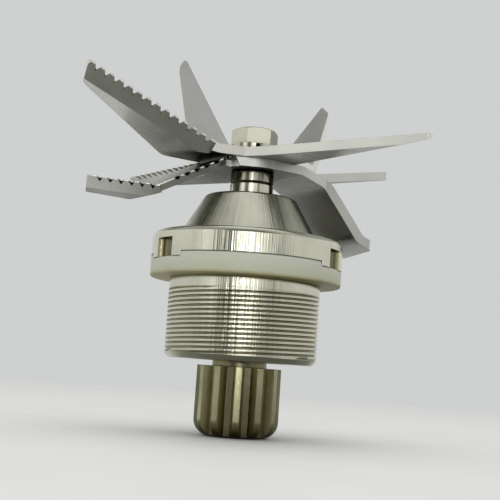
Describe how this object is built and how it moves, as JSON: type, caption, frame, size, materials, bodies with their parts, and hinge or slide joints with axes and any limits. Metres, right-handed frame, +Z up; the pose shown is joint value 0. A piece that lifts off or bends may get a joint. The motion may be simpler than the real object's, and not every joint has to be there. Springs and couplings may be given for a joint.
{
  "type": "blender blade assembly",
  "caption": "Screw-in blender blade unit: threaded steel housing with flange and silicone gasket, sealed ball bearings and a spindle carrying bent, serrated blades above a splined drive.",
  "frame": {"origin": "on the spindle axis, level with the underside of the gasket, where the unit seats in the jar", "axes": "+Z up along the spindle towards the blades; -Y towards the camera of the picture"},
  "size_m": [0.0826, 0.0593, 0.0998],
  "materials": {
    "housing_steel": "turned satin",
    "gasket_silicone": "matte translucent",
    "blade_steel": "satin with ground edges",
    "spindle_steel": "turned satin",
    "fastener_steel": "satin",
    "bearing_steel": "polished",
    "cage_brass": "machined",
    "inner_steel": "plain",
    "seal_rubber": "matte"
  },
  "bodies": {
    "housing": {"housing": "housing_steel", "gasket": "gasket_silicone", "seal_case": "inner_steel", "seal_lip": "seal_rubber", "seal_spring": "inner_steel", "lower_outer_ring": "bearing_steel", "upper_outer_ring": "bearing_steel", "lower_bottom_shield": "inner_steel", "lower_top_shield": "inner_steel", "upper_bottom_shield": "inner_steel", "upper_top_shield": "inner_steel", "outer_spacer": "inner_steel", "circlip": "inner_steel"},
    "spindle": {"shaft": "spindle_steel", "drive_coupling": "spindle_steel", "lower_collar": "spindle_steel", "upper_collar": "spindle_steel", "lower_blade": "blade_steel", "upper_blade": "blade_steel", "lock_washer": "fastener_steel", "hex_nut": "fastener_steel", "lower_inner_ring": "bearing_steel", "upper_inner_ring": "bearing_steel", "inner_spacer": "inner_steel"},
    "lower_ball_set": {"lower_cage": "cage_brass", "lower_balls": "bearing_steel"},
    "upper_ball_set": {"upper_cage": "cage_brass", "upper_balls": "bearing_steel"}
  },
  "joints": [
    {"name": "spindle_spin", "type": "hinge", "parent": "housing", "child": "spindle", "pos_m": [0, 0, 0], "axis": [0, 0, 1], "continuous": true},
    {"name": "lower_ball_orbit", "type": "hinge", "parent": "housing", "child": "lower_ball_set", "pos_m": [0, 0, -0.0134], "axis": [0, 0, 1], "continuous": true},
    {"name": "upper_ball_orbit", "type": "hinge", "parent": "housing", "child": "upper_ball_set", "pos_m": [0, 0, 0.0026], "axis": [0, 0, 1], "continuous": true}
  ],
  "couplings": [
    {"joint": "lower_ball_orbit", "follows": "spindle_spin", "ratio": 0.36778},
    {"joint": "upper_ball_orbit", "follows": "spindle_spin", "ratio": 0.36778}
  ]
}
